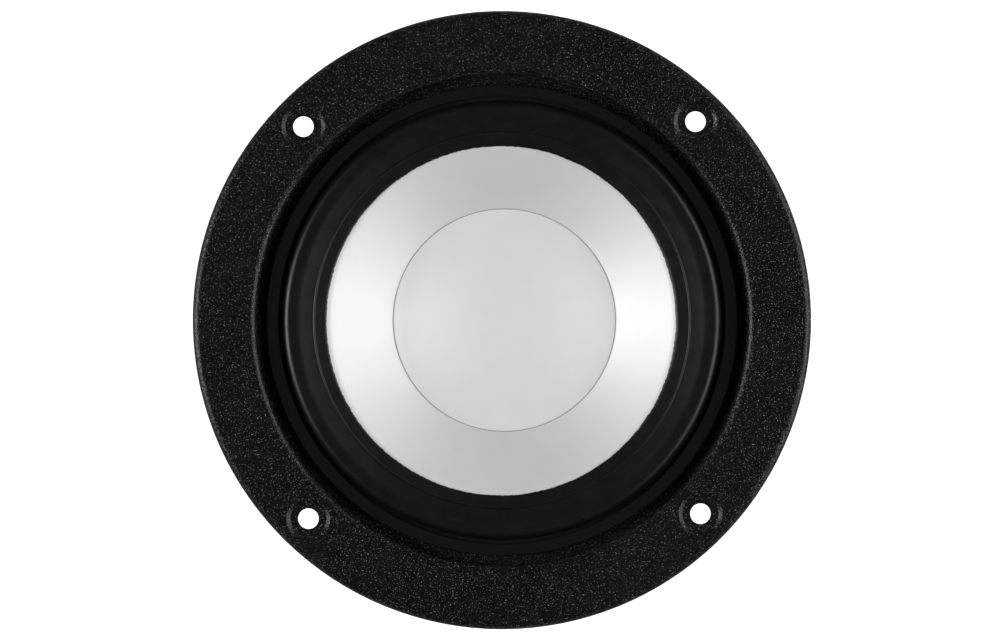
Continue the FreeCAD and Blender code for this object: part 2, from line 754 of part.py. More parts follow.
def make_terminal(label, side, width):
    """A spade blade with chamfered tip corners, a rivet hole, a locking hole and an upright solder tab."""
    body = new_body(label)
    middle = f"{side} * blade_offset"
    left, right = f"{middle} - {width} / 2", f"{middle} + {width} / 2"
    blade_outline = new_sketch(body, "blade_outline", "XY_Plane", "shelf_top")
    draw(blade_outline, [
        (left, "-blade_start"),
        (left, "-blade_end + blade_tip_chamfer"),
        (f"{left} + blade_tip_chamfer", "-blade_end"),
        (f"{right} - blade_tip_chamfer", "-blade_end"),
        (right, "-blade_end + blade_tip_chamfer"),
        (right, "-blade_start"),
    ])
    extrude("Pad", body, "blade", blade_outline, "blade_thickness")
    tab_outline = new_sketch(body, "tab_outline", "XY_Plane", "shelf_top")
    draw(tab_outline, rectangle(
        f"{middle} - solder_tab_width / 2", f"{middle} + solder_tab_width / 2",
        "-solder_tab_place - blade_thickness / 2", "-solder_tab_place + blade_thickness / 2"))
    extrude("Pad", body, "solder_tab", tab_outline, "solder_tab_top - shelf_top")
    holes = new_sketch(body, "hole_outlines", "XY_Plane", "shelf_top + blade_thickness")
    draw_circle(holes, middle, "-blade_rivet_place", "rivet_hole_radius")
    draw_circle(holes, middle, "-blade_end + blade_hole_from_end", "blade_hole_radius")
    extrude("Pocket", body, "holes", holes, "blade_thickness")
    return body


# ---------------------------------------------------------------- rivets, coil wires and leads

def primitive(kind, name, sizes, place):
    """A Part primitive with its sizes and its place bound to the sheet."""
    solid = doc.addObject(f"Part::{kind}", name)
    for size, expression in sizes.items():
        solid.setExpression(size, bound(expression))
    for axis, expression in zip("xyz", place):
        solid.setExpression(f".Placement.Base.{axis}", bound(expression))
    return solid


def group(label, solids):
    """Several separate solids in one node."""
    compound = doc.addObject("Part::Compound", label)
    compound.Label = label
    compound.Links = solids
    return compound


def make_rivet(name, start, outwards, grip):
    """A rivet along +Z or along -Y: a shank with a flat head at each end, from the inner face out."""
    turn = FreeCAD.Rotation(FreeCAD.Vector(0, 0, 1), FreeCAD.Vector(*outwards))
    pieces = []
    for part, radius, base, length in (
        ("shank", "rivet_radius", "0", grip),
        ("tail", "rivet_head_radius", "-rivet_head_height", "rivet_head_height"),
        ("head", "rivet_head_radius", grip, "rivet_head_height"),
    ):
        place = [f"{origin} + ({base}) * {step}" for origin, step in zip(start, outwards)]
        piece = primitive("Cylinder", f"{name}_{part}", {"Radius": radius, "Height": length}, place)
        piece.Placement.Rotation = turn
        pieces.append(piece)
    rivet = doc.addObject("Part::MultiFuse", name)
    rivet.Shapes = pieces
    return rivet


def make_board_rivets():
    """Two rivets through the cup's wall and the board; their tails stand on the wall's inner face."""
    inner_face = on_circle_behind("cup_radius", "board_rivet_offset + rivet_head_radius")
    rivets = []
    for number, side in enumerate((-1, 1), start=1):
        start = (f"{side} * board_rivet_offset", inner_face, "board_rivet_height")
        rivets.append(make_rivet(f"board_rivet_{number}", start, (0, -1, 0), f"board_face + {inner_face}"))
    return group("board_rivets", rivets)


def make_terminal_rivets():
    grip = "shelf_top - shelf_foot + blade_thickness"
    rivets = []
    for number, side in enumerate((-1, 1), start=1):
        start = (f"{side} * blade_offset", "-blade_rivet_place", "shelf_foot")
        rivets.append(make_rivet(f"terminal_rivet_{number}", start, (0, 0, 1), grip))
    return group("terminal_rivets", rivets)


def make_coil_wires():
    """The two ends of the winding, up the outside of the collar to the solder joints."""
    foot = "winding_top + glue_line"
    return group("coil_wires", [
        primitive("Cylinder", f"coil_wire_{number}",
                  {"Radius": "coil_wire_radius", "Height": f"coil_wire_top - ({foot})"},
                  (f"{side} * blade_offset", on_circle_behind("coil_wire_axis", "blade_offset"), foot))
        for number, side in enumerate((-1, 1), start=1)
    ])


def make_solder_joints():
    return group("solder_joints", [
        primitive("Sphere", f"solder_joint_{number}", {"Radius": "joint_radius"},
                  (f"{side} * blade_offset", on_circle_behind(JOINT_AXIS, "blade_offset"), "joint_height"))
        for number, side in enumerate((-1, 1), start=1)
    ])


def lead_route():
    """Corners of a lead's route, as (y, z), from its solder tab through a window to its solder joint.
    The steps in between are set by hand, so that the slack lead rises and then sags to the coil."""
    start = (-value("solder_tab_place"), value("solder_tab_top + lead_end_gap"))
    joint_face = value(f"{on_circle_behind(JOINT_AXIS, 'blade_offset')} - joint_radius - lead_end_gap")
    over_sill = value("window_sill + lead_over_sill")
    return [
        start,
        (start[0] - 0.7, start[1] + 5.2),
        (start[0] + 1.6, over_sill - 1.0),
        (start[0] + 7.2, over_sill + 1.2),
        (start[0] + 14.6, over_sill - 1.1),
        (start[0] + 22.4, over_sill - 4.7),
        (joint_face, value("joint_height")),
    ]


def lead_path(corners):
    """Straight runs joined by tangent arcs, each as large as its two runs allow."""
    edges = []
    here = corners[0]
    for before, corner, after in zip(corners, corners[1:], corners[2:]):
        back, ahead = (before - corner), (after - corner)
        shorter = min(back.Length, ahead.Length)
        half_turn = (math.pi - back.getAngle(ahead)) / 2
        radius = RUN_SHARE * shorter / math.tan(half_turn)
        back.normalize()
        ahead.normalize()
        first, last = corner + back * RUN_SHARE * shorter, corner + ahead * RUN_SHARE * shorter
        towards_centre = (back + ahead).normalize()
        centre = corner + towards_centre * (radius / math.cos(half_turn))
        print(f"  bend radius {radius:.1f}, turn {math.degrees(2 * half_turn):.0f}")
        edges.append(Part.LineSegment(here, first).toShape())
        edges.append(Part.Arc(first, centre - towards_centre * radius, last).toShape())
        here = last
    edges.append(Part.LineSegment(here, corners[-1]).toShape())
    return Part.Wire(edges)


def make_lead(label, side):
    """A braided lead of round section, in a plane beside the speaker's axis."""
    across = side * value("blade_offset")
    corners = [FreeCAD.Vector(across, y, z) for y, z in lead_route()]
    print(label)
    path = lead_path(corners)
    radius = value("lead_radius")
    circle = Part.Circle(corners[0], corners[1] - corners[0], radius)
    section = Part.Wire(circle.toShape())
    lead = doc.addObject("Part::Feature", label)
    lead.Label = label
    lead.Shape = path.makePipeShell([section], True, False)
    lead.Placement = FreeCAD.Placement()
    expected = math.pi * radius**2 * path.Length
    print(f"  length {path.Length:.1f}, volume {lead.Shape.Volume:.2f}, expected {expected:.2f}")
    return lead


# ---------------------------------------------------------------- the whole speaker

nodes = [
    make_basket(),
    make_rear_gasket(),
    make_clamp_ring(),
    make_yoke(),
    make_vent_screen(),
    make_magnet(),
    make_top_plate(),
    make_basket_screws(),
    make_tube("coil_former", "former_radius", "former_wall", "former_foot", "former_top"),
    make_tube("coil_winding", "winding_radius", "winding_wall", "winding_foot", "winding_top"),
    make_tube("former_collar", "collar_radius", "collar_wall", "collar_foot", "former_top"),
    make_cone(),
    make_dust_cap(),
    make_surround(),
    make_spider(),
    make_terminal_board(),
    make_terminal("terminal_positive", -1, "wide_blade_width"),
    make_terminal("terminal_negative", 1, "narrow_blade_width"),
    make_board_rivets(),
    make_terminal_rivets(),
    make_coil_wires(),
    make_solder_joints(),
    make_lead("tinsel_lead_positive", -1),
    make_lead("tinsel_lead_negative", 1),
]

doc.recompute()
for item in doc.Objects:
    assert not {"Invalid", "Error"} & set(item.State), f"{item.Name} failed: {item.State}"
os.makedirs("parts", exist_ok=True)
for node in nodes:
    shape = node.Shape
    assert not shape.isNull() and shape.isValid(), f"{node.Label} has no valid shape"
    assert shape.Solids and all(solid.Volume > 0 for solid in shape.Solids), f"{node.Label} is not solid"
    shape.exportStep(f"parts/{node.Label}.step")
    box = shape.BoundBox
    heights = f"z {box.ZMin:6.2f} to {box.ZMax:6.2f}"
    print(f"{node.Label:22} {len(shape.Solids)} solids {shape.Volume:10.1f} mm3  {heights}")
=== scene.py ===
import math

import bmesh
import bpy
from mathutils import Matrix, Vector, noise


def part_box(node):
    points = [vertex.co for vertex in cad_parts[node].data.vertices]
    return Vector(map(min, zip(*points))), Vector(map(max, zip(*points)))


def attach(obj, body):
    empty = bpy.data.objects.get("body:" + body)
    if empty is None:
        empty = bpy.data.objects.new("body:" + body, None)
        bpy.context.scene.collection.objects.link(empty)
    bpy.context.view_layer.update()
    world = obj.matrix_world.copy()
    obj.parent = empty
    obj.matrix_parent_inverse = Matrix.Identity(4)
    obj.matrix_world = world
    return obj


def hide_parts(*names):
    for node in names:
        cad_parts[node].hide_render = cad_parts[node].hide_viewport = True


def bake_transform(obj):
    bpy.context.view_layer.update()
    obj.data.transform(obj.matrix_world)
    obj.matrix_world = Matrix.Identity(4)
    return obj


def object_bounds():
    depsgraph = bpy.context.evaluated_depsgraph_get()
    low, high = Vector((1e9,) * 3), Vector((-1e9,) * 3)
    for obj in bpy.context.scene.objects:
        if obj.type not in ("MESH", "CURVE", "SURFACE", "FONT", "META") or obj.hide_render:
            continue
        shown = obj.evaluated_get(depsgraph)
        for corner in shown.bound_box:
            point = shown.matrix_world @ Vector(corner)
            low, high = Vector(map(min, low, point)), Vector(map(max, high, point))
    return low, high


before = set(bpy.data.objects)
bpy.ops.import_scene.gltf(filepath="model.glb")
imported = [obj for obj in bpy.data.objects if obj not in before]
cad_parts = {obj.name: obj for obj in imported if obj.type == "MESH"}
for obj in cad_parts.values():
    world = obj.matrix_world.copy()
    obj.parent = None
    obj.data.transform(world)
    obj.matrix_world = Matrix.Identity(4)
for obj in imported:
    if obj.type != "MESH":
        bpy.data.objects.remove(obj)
cad_low, cad_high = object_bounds()

MM = 0.001
FULL_TURN = 2 * math.pi
MOVING = "moving_assembly"
CIRCLE_STEPS = 288  # corners round a turned piece
ON_AXIS = 1e-7  # a smaller radius than this is on the axis
GLUE_LINE = 0.05 * MM

CONE_THICKNESS = 0.6 * MM
CONE_ROWS = 24
RIM_WIDTH = 4.2 * MM  # the shallow glue rim at the cone's edge
RIM_SLOPE = math.tan(math.radians(10))

CAP_THICKNESS = 0.5 * MM
CAP_ROWS = 40
CAP_ASIDE = 0.6 * MM  # the cap sits this far off the cone's centre, towards +X
SEAM_RADIUS = 0.11 * MM
SEAM_OUT = 0.8 * SEAM_RADIUS  # its middle lies this far outside the cap's rim and above the cone
SEAM_UP = 0.2 * SEAM_RADIUS
SEAM_SIDES = 10

RUBBER = 0.6 * MM  # thickness of the surround
OUTER_LIP = 3.8 * MM  # width of the flat lip outside the roll
LIP_STEP = 0.3 * MM  # bevel between outer lip and roll
ROLL_SLOPE = 15.0  # degrees by which the roll rises from its foot
ROLL_TOP = 2.6 * MM  # from the roll's outer side in to its crest
TOP_BEND = 6.6 * MM
SIDE_BEND = 1.7 * MM
FOOT_OUT = 0.1 * MM  # the roll's foot lies this far outside the cone's edge
BEAD_IN = 0.6 * MM  # and the bead's middle this far inside it
BEAD_HALF_WIDTH = 0.3 * MM
BEAD_RISE = 0.2 * MM
LIP_ROWS = 8
TRIM_IN = 0.12 * MM  # the inner lip's cut edge reaches this far inward of the CAD's
TRIM_ASIDE = 0.26 * MM  # and its centre lies this far off the axis, towards the next angle
TRIM_TOWARDS = math.radians(220)
TRIM_WAVES = [(9, 0.10 * MM), (60, 0.14 * MM)]  # fineness and depth of its wandering and of its nicks
# The cut edge's section: it leaves the lip's front, passes a bevelled corner and drops straight to the cone.
EDGE_SETBACK = 0.3 * MM
EDGE_BEVEL = 0.1 * MM
EDGE_DROP = 0.08 * MM
EDGE_WALL = 0.15 * MM
SIDE_STEPS = 20  # steps round the bends of the surround's section
INSIDE_STEPS = 16
TOP_STEPS = 8
BEAD_STEPS = 8

SPIDER_THICKNESS = 0.4 * MM
SPIDER_ROWS = 96
SPIDER_RINGS = 4
RING_RISE = 0.75 * MM
FIRST_RING = 1.3 * MM  # where the pressed rings begin and end, out from the neck
LAST_RING = 17.7 * MM


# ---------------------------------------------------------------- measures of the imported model

def radial_points(node):
    """Every corner of a CAD node, as (distance from the speaker's axis, height)."""
    return [(math.hypot(v.co.x, v.co.y), v.co.z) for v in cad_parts[node].data.vertices]


def inner_radius(node):
    return min(radius for radius, _ in radial_points(node))


def outer_radius(node):
    return max(radius for radius, _ in radial_points(node))


def foot_of(node):
    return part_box(node)[0].z


def top_of(node):
    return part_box(node)[1].z


def top_near(node, radius, reach=0.15 * MM):
    """Highest corner of a node within a short reach of a radius."""
    return max(height for r, height in radial_points(node) if abs(r - radius) < reach)


def foot_near(node, radius, reach=0.1 * MM):
    """Lowest corner of a node within a short reach of a radius."""
    return min(height for r, height in radial_points(node) if abs(r - radius) < reach)


front = top_of("basket")
flange_radius = outer_radius("basket")
cone_edge = outer_radius("cone")
cone_edge_top = top_of("cone")
cone_neck = inner_radius("cone")
cone_neck_top = top_near("cone", cone_neck)
rim_start = cone_edge - RIM_WIDTH
rim_start_top = cone_edge_top - RIM_WIDTH * RIM_SLOPE
side_slope = (rim_start_top - cone_neck_top) / (rim_start - cone_neck)


def cone_front(radius):
    """Height of the cone's front surface at a radius: a straight side, then a shallow glue rim."""
    if radius > rim_start:
        return cone_edge_top - (cone_edge - radius) * RIM_SLOPE
    return rim_start_top - (rim_start - radius) * side_slope


# ---------------------------------------------------------------- camera, floor and lights

CAMERA_DISTANCE = 1.5
CAMERA_ROLL = math.radians(-0.73)
FLANGE_SHARE = 0.3096  # half the flange, as a share of the picture's width
SENSOR = 36.0  # millimetres
CAMERA_ASIDE = Vector((-0.47 * MM, 0.04 * MM, 0))
FLOOR_HALF = 6.0
FLOOR_GAP = 0.5 * MM
WALL_GLOW = 0.8
CEILING_GLOW = 0.01
GLOW_BELOW = 0.35  # share of the wall's glow that is left below its foot
# Heights, as the z of a unit direction, between which the wall fades at its top and at its foot.
WALL_TOP = (0.03, 0.22)
WALL_FOOT = (-0.12, -0.02)


def make_camera():
    """A long lens straight above the face, the flange filling its share of the picture's width."""
    data = bpy.data.cameras.new("camera")
    data.sensor_width = SENSOR
    data.lens = SENSOR * FLANGE_SHARE * CAMERA_DISTANCE / flange_radius
    data.clip_end = 20.0
    camera = bpy.data.objects.new("camera", data)
    camera.location = Vector((0, 0, front + CAMERA_DISTANCE)) + CAMERA_ASIDE
    camera.rotation_euler = (0, 0, CAMERA_ROLL)
    bpy.context.scene.collection.objects.link(camera)
    bpy.context.scene.camera = camera


def ramp_between(tree, source, limits, values):
    """A value that goes from the first to the second of values, as the source goes between the limits."""
    ramp = tree.nodes.new("ShaderNodeMapRange")
    tree.links.new(source, ramp.inputs["Value"])
    ramp.inputs["From Min"].default_value, ramp.inputs["From Max"].default_value = limits
    ramp.inputs["To Min"].default_value, ramp.inputs["To Max"].default_value = values
    return ramp.outputs["Result"]


def grey(level):
    return (level, level, level)


def make_world():
    """A pale wall round the horizon, with a dark ceiling above it and a dimmer part below."""
    world = bpy.data.worlds.new("studio")
    world.use_nodes = True
    tree = world.node_tree
    background = tree.nodes["Background"]
    background.inputs["Color"].default_value = (1, 1, 1, 1)
    direction = tree.nodes.new("ShaderNodeTexCoord").outputs["Generated"]
    parts = tree.nodes.new("ShaderNodeSeparateXYZ")
    tree.links.new(direction, parts.inputs[0])
    wall_and_ceiling = ramp_between(tree, parts.outputs["Z"], WALL_TOP, (WALL_GLOW, CEILING_GLOW))
    share_of_wall = ramp_between(tree, parts.outputs["Z"], WALL_FOOT, (GLOW_BELOW, 1))
    glow = tree.nodes.new("ShaderNodeMath")
    glow.operation = "MULTIPLY"
    tree.links.new(wall_and_ceiling, glow.inputs[0])
    tree.links.new(share_of_wall, glow.inputs[1])
    tree.links.new(glow.outputs[0], background.inputs["Strength"])
    bpy.context.scene.world = world
    bpy.context.scene.view_settings.view_transform = "Standard"


def soft_box(name, azimuth, elevation, distance, size, watts):
    """An area light that looks at the middle of the face, from an azimuth (0 is +X) and elevation."""
    data = bpy.data.lights.new(name, "AREA")
    data.shape = "RECTANGLE"
    data.size, data.size_y = size
    data.energy = watts
    light = bpy.data.objects.new(name, data)
    turn, lift = math.radians(azimuth), math.radians(elevation)
    aim = Vector((0, 0, front))
    out = Vector((math.cos(turn) * math.cos(lift), math.sin(turn) * math.cos(lift), math.sin(lift)))
    light.location = aim + out * distance
    light.rotation_euler = out.to_track_quat("Z", "Y").to_euler()
    bpy.context.scene.collection.objects.link(light)


def make_lights():
    """Two small strong lights on the left, one above the other, and a broad soft one on the right."""
    soft_box("left_box", 180, 38, 1.3, (0.40, 0.40), 9.0)
    soft_box("left_low_box", 180, 18, 1.3, (0.40, 0.30), 5)
    soft_box("right_box", 0, 30, 1.0, (1.0, 0.9), 11.0)


def make_floor():
    """White paper, which glows a little so that it stays white all over."""
    mesh = bpy.data.meshes.new("floor")
    corners = [(-1, -1), (1, -1), (1, 1), (-1, 1)]
    mesh.from_pydata([(x * FLOOR_HALF, y * FLOOR_HALF, 0) for x, y in corners], [], [(0, 1, 2, 3)])
    floor = bpy.data.objects.new("floor", mesh)
    floor.location.z = cad_low.z - FLOOR_GAP
    bpy.context.scene.collection.objects.link(floor)
    material = bpy.data.materials.new("floor_paper")
    material.use_nodes = True
    shader = material.node_tree.nodes["Principled BSDF"]
    shader.inputs["Base Color"].default_value = (*grey(0.5), 1)
    shader.inputs["Roughness"].default_value = 0.9
    shader.inputs["Emission Color"].default_value = (1, 1, 1, 1)
    shader.inputs["Emission Strength"].default_value = 0.93
    mesh.materials.append(material)
    floor.visible_glossy = False  # polished rims would mirror it as a bright outline


# ---------------------------------------------------------------- materials

# Places of a Mix node's colour sockets, which share their names with its other kinds of socket.
COLOR_A = 6
COLOR_B = 7
MIXED_COLOR = 2


class Surface:
    """A Principled material built up from noise, bump and colour steps in object space."""

    def __init__(self, name, color, metallic=0.0, roughness=0.5):
        self.material = bpy.data.materials.new(name)
        self.material.use_nodes = True
        self.tree = self.material.node_tree
        self.shader = self.tree.nodes["Principled BSDF"]
        self.shader.inputs["Base Color"].default_value = (*color, 1)
        self.shader.inputs["Metallic"].default_value = metallic
        self.shader.inputs["Roughness"].default_value = roughness
        self.place = self.tree.nodes.new("ShaderNodeTexCoord").outputs["Object"]
        self.normal = None

    def set(self, **values):
        """Set sockets of the shader, named with underscores for spaces."""
        for name, value in values.items():
            self.shader.inputs[name.replace("_", " ")].default_value = value
        return self

    def node(self, kind, **links):
        """A new node, whose named sockets are set, or linked where another node's output is given."""
        made = self.tree.nodes.new(f"ShaderNode{kind}")
        for name, value in links.items():
            socket = made.inputs[name.replace("_", " ")]
            if isinstance(value, bpy.types.NodeSocket):
                self.tree.links.new(value, socket)
            else:
                socket.default_value = value
        return made

    def stretched(self, scale):
        """Object coordinates with each axis scaled."""
        return self.node("Mapping", Vector=self.place, Scale=scale).outputs["Vector"]

    def noise(self, grain, detail=3.0, rough=0.6, place=None):
        """Noise whose features are about this many metres across."""
        where = place or self.place
        made = self.node("TexNoise", Vector=where, Scale=1 / grain, Detail=detail, Roughness=rough)
        return made.outputs["Fac"]

    def cells(self, grain, feature="F1"):
        """Distance from the middle of the nearest cell, the cells being about this many metres across."""
        made = self.node("TexVoronoi", Vector=self.place, Scale=1 / grain)
        made.feature = feature
        return made.outputs["Distance"]

    def bands(self, spacing, direction, distortion=0.0):
        """Waves across one axis."""
        made = self.node("TexWave", Vector=self.place, Scale=1 / spacing, Distortion=distortion)
        made.bands_direction = direction
        return made.outputs["Fac"]

    def ramp(self, source, low, high, out_low, out_high):
        """A value stretched from one range to another and held inside it."""
        return ramp_between(self.tree, source, (low, high), (out_low, out_high))

    def colors(self, source, low, high, first, last):
        """Two colours mixed by a value."""
        made = self.tree.nodes.new("ShaderNodeMix")
        made.data_type = "RGBA"
        self.tree.links.new(self.ramp(source, low, high, 0, 1), made.inputs["Factor"])
        for index, color in ((COLOR_A, first), (COLOR_B, last)):
            if isinstance(color, bpy.types.NodeSocket):
                self.tree.links.new(color, made.inputs[index])
            else:
                made.inputs[index].default_value = (*color, 1)
        return made.outputs[MIXED_COLOR]

    def paint(self, color):
        self.tree.links.new(color, self.shader.inputs["Base Color"])
        return self

    def polish(self, roughness):
        self.tree.links.new(roughness, self.shader.inputs["Roughness"])
        return self

    def bump(self, height, depth, strength=1.0):
        """Add a bump of this depth in metres on top of any made before."""
        made = self.node("Bump", Height=height, Distance=depth, Strength=strength)
        if self.normal:
            self.tree.links.new(self.normal, made.inputs["Normal"])
        self.normal = made.outputs["Normal"]
        self.tree.links.new(self.normal, self.shader.inputs["Normal"])
        return self


def textured_paint():
    """Black wrinkle paint: fine bumps of under half a millimetre, whose tops are painted light grey as
    glints.
    """
    s = Surface("wrinkle_paint", grey(0.004), roughness=0.3).set(Specular_IOR_Level=0.25)
    grain = s.cells(0.5 * MM, "SMOOTH_F1")
    crests_and_painted_glints = s.noise(0.33 * MM, 3.0, 0.6)
    patches = s.noise(9 * MM)
    ground = s.colors(patches, 0.35, 0.65, grey(0.002), grey(0.0035))
    # painted highlight: the highest bump crests are coloured light grey to stand in for glints of light
    s.paint(s.colors(crests_and_painted_glints, 0.60, 0.73, ground, grey(0.31)))
    s.polish(s.ramp(crests_and_painted_glints, 0.3, 0.7, 0.36, 0.27))
    return s.bump(grain, 0.10 * MM).bump(crests_and_painted_glints, 0.06 * MM).material


def black_rubber():
    """Moulded rubber, matt and a little dusty, its polish slightly uneven."""
    s = Surface("moulded_rubber", grey(0.005), roughness=0.4).set(Specular_IOR_Level=0.33)
    dust = s.noise(0.30 * MM, 4.0)
    ground = s.colors(s.noise(12 * MM), 0.3, 0.7, grey(0.003), grey(0.0045))
    s.paint(s.colors(dust, 0.58, 0.85, ground, grey(0.030)))
    s.polish(s.ramp(s.noise(4 * MM), 0.3, 0.7, 0.34, 0.42))
    return s.bump(dust, 0.02 * MM).material


def pressed_board():
    """Dull black fibre board."""
    s = Surface("ring_board", grey(0.004), roughness=0.6).set(Specular_IOR_Level=0.08)
    fibres = s.noise(0.3 * MM, 5.0)
    s.paint(s.colors(fibres, 0.3, 0.7, grey(0.002), grey(0.007)))
    return s.bump(fibres, 0.03 * MM).material


def foam():
    """Black closed-cell foam of the gasket."""
    s = Surface("closed_cell_foam", grey(0.02), roughness=0.95)
    cells = s.cells(0.5 * MM)
    s.paint(s.colors(cells, 0.1, 0.6, grey(0.010), grey(0.035)))
    return s.bump(cells, 0.12 * MM).material


def silver_paint(name, color, roughness, metallic):
    """Satin silver with a very fine flake and faint broad mottling."""
    s = Surface(name, color, metallic=metallic, roughness=roughness)
    flake = s.noise(0.12 * MM, 2.0)
    mottle = s.noise(14 * MM, 3.0)
    darker = tuple(c * 0.975 for c in color)
    s.paint(s.colors(mottle, 0.35, 0.65, darker, color))
    s.polish(s.ramp(flake, 0.3, 0.7, roughness - 0.03, roughness + 0.05))
    return s.bump(flake, 0.002 * MM).material


def cone_back():
    """Bare dark paper pulp."""
    s = Surface("cone_back", (0.03, 0.03, 0.032), roughness=0.8)
    fibres = s.noise(0.5 * MM, 5.0, place=s.stretched((1, 1, 0.3)))
    s.paint(s.colors(fibres, 0.3, 0.7, (0.018, 0.018, 0.02), (0.05, 0.05, 0.052)))
    return s.bump(fibres, 0.05 * MM).material


def plated_steel(name, color):
    """Plated metal with dull blotches and fine scratches."""
    s = Surface(name, color, metallic=1.0, roughness=0.35)
    blotches = s.noise(6 * MM, 4.0)
    scratches = s.noise(0.4 * MM, 3.0, place=s.stretched((1, 1, 0.15)))
    s.paint(s.colors(blotches, 0.3, 0.7, tuple(c * 0.8 for c in color), color))
    s.polish(s.ramp(blotches, 0.3, 0.7, 0.28, 0.45))
    return s.bump(scratches, 0.008 * MM).material


def ferrite():
    """Dark ground ferrite with a few shallow pits."""
    s = Surface("ferrite", (0.045, 0.045, 0.048), roughness=0.6)
    grain = s.noise(0.4 * MM, 5.0)
    pits = s.cells(3.5 * MM)
    s.paint(s.colors(grain, 0.3, 0.7, (0.028, 0.028, 0.030), (0.065, 0.065, 0.068)))
    s.polish(s.ramp(pits, 0.05, 0.3, 0.8, 0.5))
    return s.bump(grain, 0.04 * MM).bump(pits, 0.05 * MM, 0.4).material


def spider_weave():
    """Open cloth stiffened with yellow resin, its threads crossing at right angles."""
    s = Surface("spider_weave", (0.6, 0.42, 0.13), roughness=0.85)
    weave = s.node("Math", Value=s.bands(1.6 * MM, "X", 0.6))
    weave.operation = "MULTIPLY"
    s.tree.links.new(s.bands(1.6 * MM, "Y", 0.6), weave.inputs[1])
    s.paint(s.colors(weave.outputs["Value"], 0.0, 0.7, (0.30, 0.19, 0.05), (0.66, 0.47, 0.16)))
    return s.bump(weave.outputs["Value"], 0.08 * MM).material


def copper():
    """Enamelled copper, ridged by its turns."""
    s = Surface("enamelled_copper", (0.72, 0.28, 0.12), metallic=1.0, roughness=0.25)
    return s.bump(s.bands(1.9 * MM, "Z"), 0.08 * MM).material


def plain(name, color, roughness, metallic=0.0):
    """A moulded or sheet material with a slight mottle and fine grain."""
    s = Surface(name, color, metallic=metallic, roughness=roughness)
    fine = s.noise(0.4 * MM, 4.0)
    s.paint(s.colors(s.noise(5 * MM), 0.3, 0.7, tuple(c * 0.85 for c in color), color))
    s.polish(s.ramp(fine, 0.3, 0.7, roughness * 0.85, min(1.0, roughness * 1.15)))
    return s.bump(fine, 0.02 * MM).material


def braid():
    """Tinsel: copper strands, with painted shade darkening the gaps between them."""
    s = Surface("tinsel_braid", (0.75, 0.55, 0.33), metallic=0.9, roughness=0.35)
    strands = s.cells(0.28 * MM, "SMOOTH_F1")
    # painted shade: the copper is darkened away from each strand's middle, in the gaps where shade falls
    s.paint(s.colors(strands, 0.1, 0.6, (0.78, 0.60, 0.40), (0.30, 0.20, 0.12)))
    return s.bump(strands, 0.1 * MM).material


# ---------------------------------------------------------------- mesh helpers

def finish_mesh(name, verts, faces, materials, face_slots=None, smooth_angle=35):
    """A new piece from its corners and faces, smooth where its faces meet at less than an angle."""
    mesh = bpy.data.meshes.new(name)
    mesh.from_pydata(verts, [], faces)
    for material in materials:
        mesh.materials.append(material)
    if face_slots:
        mesh.polygons.foreach_set("material_index", face_slots)
    mesh.validate()
    piece = bpy.data.objects.new(name, mesh)
    bpy.context.scene.collection.objects.link(piece)
    bm = bmesh.new()
    bm.from_mesh(mesh)
    bmesh.ops.recalc_face_normals(bm, faces=bm.faces)
    limit = math.radians(smooth_angle)
    for face in bm.faces:
        face.smooth = True
    for edge in bm.edges:
        edge.smooth = edge.calc_face_angle(0) < limit
    bm.to_mesh(mesh)
    bm.free()
    return piece


def evenly(start, end, rows):
    """Values from start to end in this many equal steps, both ends included."""
    return [start + (end - start) * i / rows for i in range(rows + 1)]


def bend(centre, radius, first, last, steps):
    """Points of an arc in the (radius, height) plane, between two angles in degrees from outward."""
    turns = [math.radians(angle) for angle in evenly(first, last, steps)]
    return [(centre[0] + radius * math.cos(turn), centre[1] + radius * math.sin(turn)) for turn in turns]


def arc(start, end, rise, steps):
    """Points of a flat arc that swells upward by a rise, between two (radius, height) points."""
    half = math.dist(start, end) / 2
    radius = (half * half + rise * rise) / (2 * rise)
    lean = math.atan2(start[1] - end[1], start[0] - end[0])
    spread = math.asin(half / radius)
    middle = ((start[0] + end[0]) / 2, (start[1] + end[1]) / 2)
    back = radius - rise
    centre = (middle[0] + back * math.sin(lean), middle[1] - back * math.cos(lean))
    first = math.degrees(math.pi / 2 + lean - spread)
    return bend(centre, radius, first, first + math.degrees(2 * spread), steps)


def turned(name, outline, materials, slot_of=None, wobble=None, steps=CIRCLE_STEPS):
    """Turn a closed outline of (radius, height) points about the axis. Points on the axis are joined.
    slot_of gives the material of a row, and wobble moves a corner (out, up) by its row and angle."""
    rings = []
    verts = []
    for index, (radius, height) in enumerate(outline):
        if radius < ON_AXIS:
            rings.append([len(verts)] * steps)
            verts.append((0, 0, height))
            continue
        rings.append(list(range(len(verts), len(verts) + steps)))
        for step in range(steps):
            angle = FULL_TURN * step / steps
            out, up = wobble(index, angle) if wobble else (0, 0)
            verts.append(((radius + out) * math.cos(angle), (radius + out) * math.sin(angle), height + up))
    faces = []
    slots = []
    count = len(outline)
    for index in range(count):
        here, there = rings[index], rings[(index + 1) % count]
        if here[0] == here[1] and there[0] == there[1]:
            continue
        for step in range(steps):
            nxt = (step + 1) % steps
            corners = [here[step], here[nxt], there[nxt], there[step]]
            faces.append(list(dict.fromkeys(corners)))
            slots.append(slot_of(index) if slot_of else 0)
    return finish_mesh(name, verts, faces, materials, slots)


def blend_from_rim_to_middle(piece):
    """Lay the corners of a round piece, whose rim the basket holds and whose middle moves with the cone, on
    one line by their radius, bake the piece's transform into them, and put the corners back."""
    real = [v.co.copy() for v in piece.data.vertices]
    for vertex, place in zip(piece.data.vertices, real):
        vertex.co = (math.hypot(place.x, place.y), 0, 0)
    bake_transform(piece)
    for vertex, place in zip(piece.data.vertices, real):
        vertex.co = place


# ---------------------------------------------------------------- cone, dust cap, surround, spider

